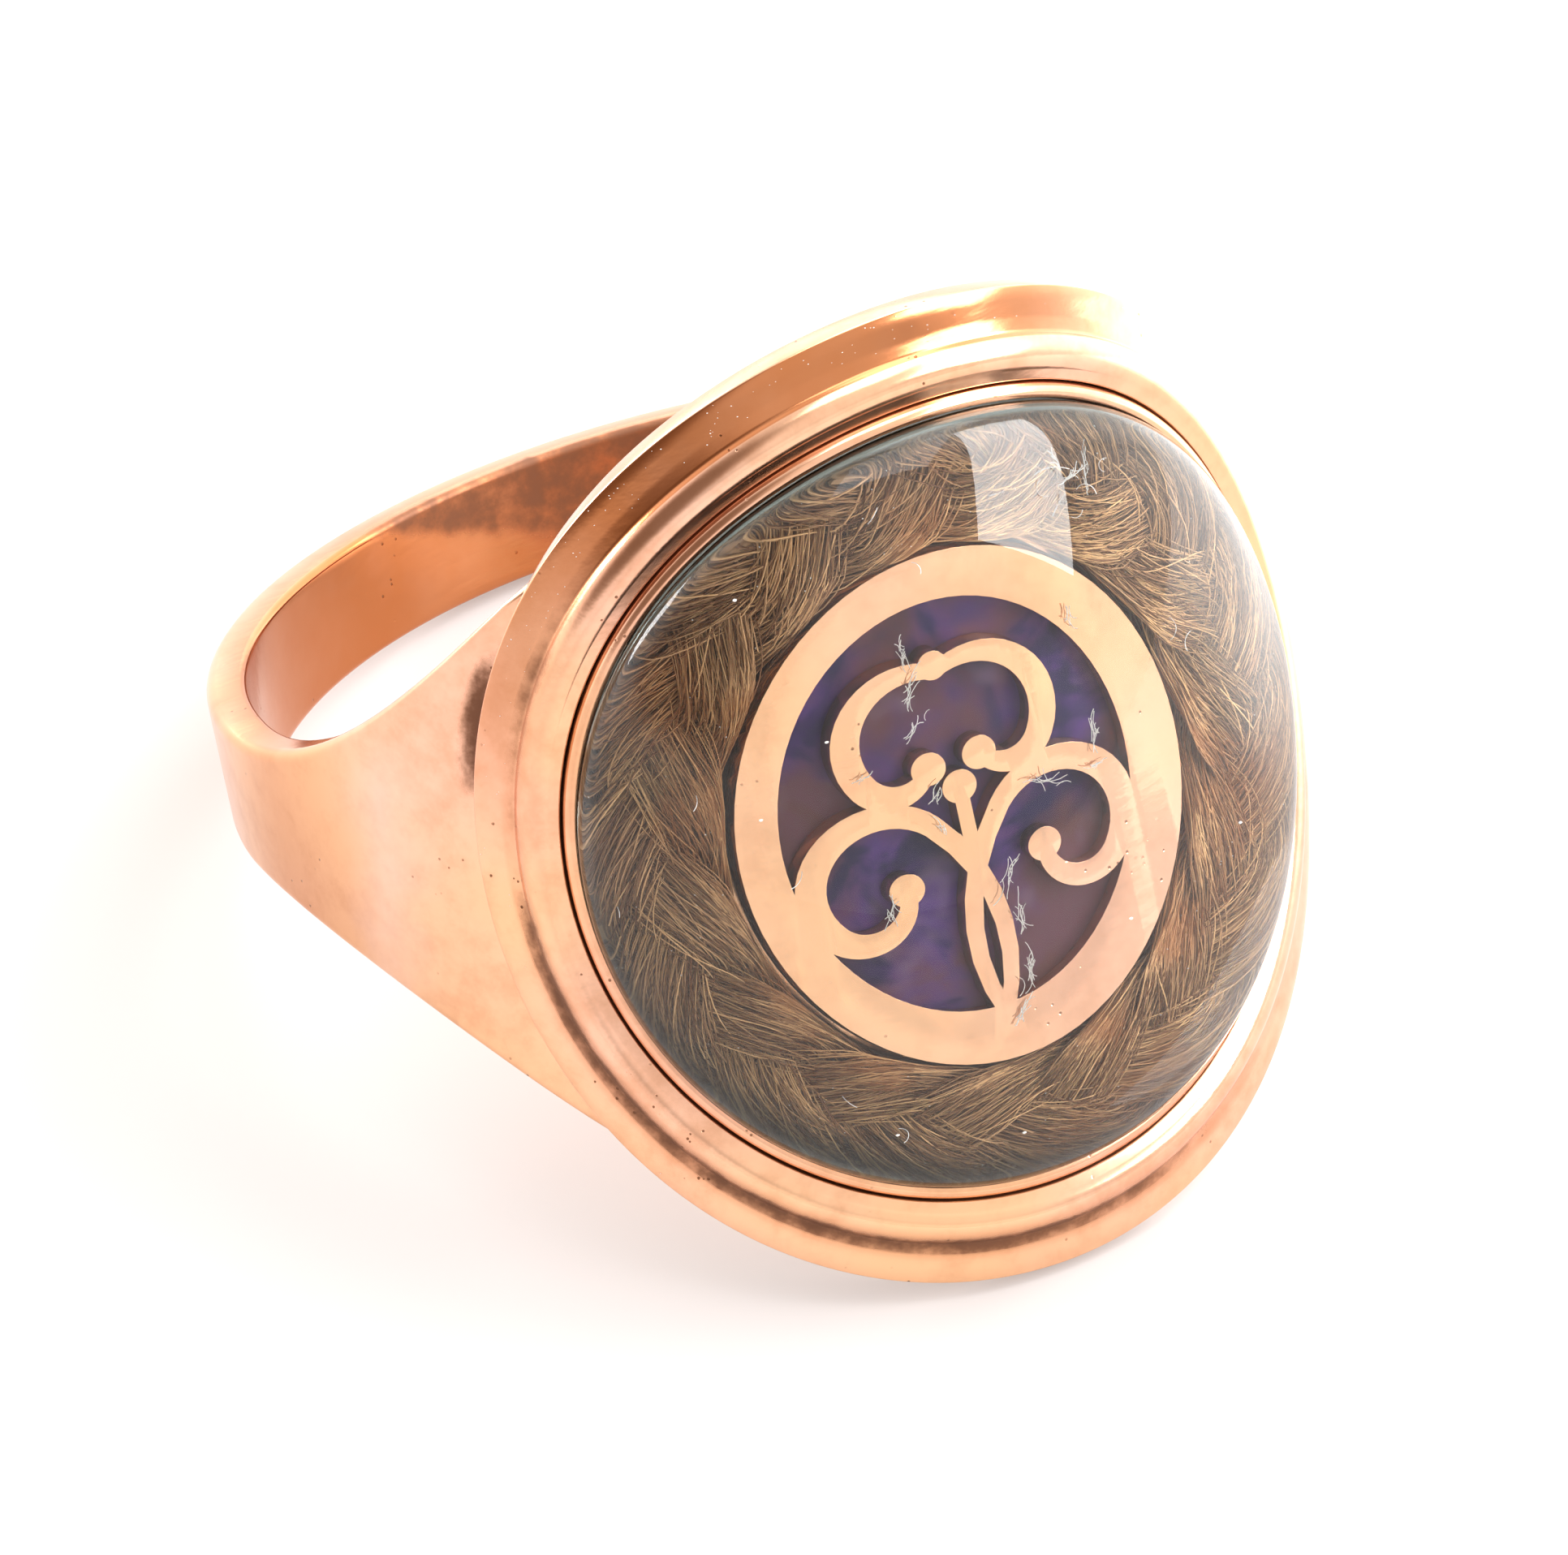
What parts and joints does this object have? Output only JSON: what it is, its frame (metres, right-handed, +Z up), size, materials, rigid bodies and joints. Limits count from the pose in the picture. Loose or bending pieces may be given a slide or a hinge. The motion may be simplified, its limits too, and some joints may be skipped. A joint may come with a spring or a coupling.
{
  "type": "mourning ring",
  "caption": "Gold mourning ring with flaring shoulders and a large oval locket head: a domed crystal over a hair plait and an enamelled gold badge.",
  "frame": {"origin": "on the surface that the ring lies on, below the middle of its box", "axes": "+Z up; the head faces -Y and leans back; +X runs across the finger; the finger hole's axis leans 23.8 degrees from +Z towards +Y"},
  "size_m": [0.0189, 0.0218, 0.0172],
  "materials": {
    "gold": "polished rose gold, worn and finely scratched",
    "crystal": "polished rock crystal",
    "hair": "plaited brown hair",
    "enamel": "glossy blue-violet enamel"
  },
  "bodies": {
    "root": {"ring_body": "gold", "crystal_rim": "gold", "crystal": "crystal", "hair_lock_1": "hair", "hair_lock_2": "hair", "hair_lock_3": "hair", "enamel": "enamel", "badge": "gold"}
  },
  "joints": []
}
